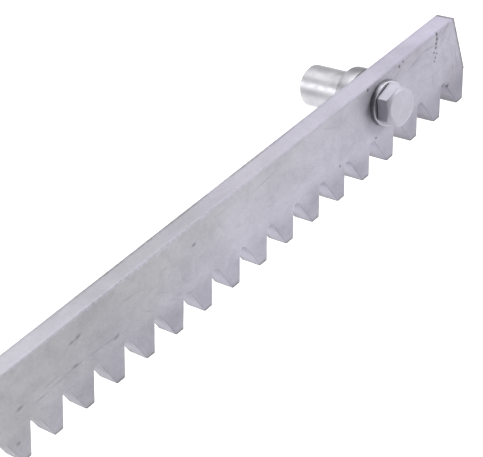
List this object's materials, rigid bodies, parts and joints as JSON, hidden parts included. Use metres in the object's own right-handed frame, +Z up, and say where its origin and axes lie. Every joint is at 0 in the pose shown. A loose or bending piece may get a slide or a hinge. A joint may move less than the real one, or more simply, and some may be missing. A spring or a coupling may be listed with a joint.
{
  "type": "gear rack",
  "caption": "Straight steel gear rack for a sliding gate, with bolts, washers and tapped stand-off spacers along it.",
  "frame": {"origin": "mid-length, on the plane where the spacers meet the gate, at the height of the bolt axes", "axes": "+X along the bar, +Y out of the spacer ends towards the gate, +Z up with the teeth pointing down"},
  "size_m": [1.004, 0.0389, 0.029],
  "materials": {
    "galvanised_steel": "hot-dip galvanised, matt and mottled",
    "zinc_plated_steel": "bright zinc plated, turned",
    "zinc_plated_fasteners": "zinc plated, satin"
  },
  "bodies": {
    "bar": {"rack_bar": "galvanised_steel"},
    "spacer_1": {"threaded_spacer_1": "zinc_plated_steel"},
    "washer_1": {"flat_washer_1": "zinc_plated_fasteners"},
    "bolt_1": {"hex_bolt_1": "zinc_plated_fasteners"},
    "spacer_2": {"threaded_spacer_2": "zinc_plated_steel"},
    "washer_2": {"flat_washer_2": "zinc_plated_fasteners"},
    "bolt_2": {"hex_bolt_2": "zinc_plated_fasteners"},
    "spacer_3": {"threaded_spacer_3": "zinc_plated_steel"},
    "washer_3": {"flat_washer_3": "zinc_plated_fasteners"},
    "bolt_3": {"hex_bolt_3": "zinc_plated_fasteners"},
    "spacer_4": {"threaded_spacer_4": "zinc_plated_steel"},
    "washer_4": {"flat_washer_4": "zinc_plated_fasteners"},
    "bolt_4": {"hex_bolt_4": "zinc_plated_fasteners"}
  },
  "joints": [
    {"name": "height_adjust_1", "type": "slide", "parent": "bar", "child": "spacer_1", "axis": [0, 0, 1], "range_m": [-0.002, 0.002]},
    {"name": "bolt_back_off_1", "type": "slide", "parent": "spacer_1", "child": "washer_1", "axis": [0, -1, 0], "range_m": [0, 0.0125]},
    {"name": "bolt_turn_1", "type": "hinge", "parent": "washer_1", "child": "bolt_1", "pos_m": [-0.4623, -0.0337, 0], "axis": [0, -1, 0], "range_deg": [0, 3600]},
    {"name": "height_adjust_2", "type": "slide", "parent": "bar", "child": "spacer_2", "axis": [0, 0, 1], "range_m": [-0.002, 0.002]},
    {"name": "bolt_back_off_2", "type": "slide", "parent": "spacer_2", "child": "washer_2", "axis": [0, -1, 0], "range_m": [0, 0.0125]},
    {"name": "bolt_turn_2", "type": "hinge", "parent": "washer_2", "child": "bolt_2", "pos_m": [-0.1541, -0.0337, 0], "axis": [0, -1, 0], "range_deg": [0, 3600]},
    {"name": "height_adjust_3", "type": "slide", "parent": "bar", "child": "spacer_3", "axis": [0, 0, 1], "range_m": [-0.002, 0.002]},
    {"name": "bolt_back_off_3", "type": "slide", "parent": "spacer_3", "child": "washer_3", "axis": [0, -1, 0], "range_m": [0, 0.0125]},
    {"name": "bolt_turn_3", "type": "hinge", "parent": "washer_3", "child": "bolt_3", "pos_m": [0.1541, -0.0337, 0], "axis": [0, -1, 0], "range_deg": [0, 3600]},
    {"name": "height_adjust_4", "type": "slide", "parent": "bar", "child": "spacer_4", "axis": [0, 0, 1], "range_m": [-0.002, 0.002]},
    {"name": "bolt_back_off_4", "type": "slide", "parent": "spacer_4", "child": "washer_4", "axis": [0, -1, 0], "range_m": [0, 0.0125]},
    {"name": "bolt_turn_4", "type": "hinge", "parent": "washer_4", "child": "bolt_4", "pos_m": [0.4623, -0.0337, 0], "axis": [0, -1, 0], "range_deg": [0, 3600]}
  ],
  "couplings": [
    {"joint": "bolt_back_off_1", "follows": "bolt_turn_1", "m_per_rad": 0.00019894},
    {"joint": "bolt_back_off_2", "follows": "bolt_turn_2", "m_per_rad": 0.00019894},
    {"joint": "bolt_back_off_3", "follows": "bolt_turn_3", "m_per_rad": 0.00019894},
    {"joint": "bolt_back_off_4", "follows": "bolt_turn_4", "m_per_rad": 0.00019894}
  ]
}
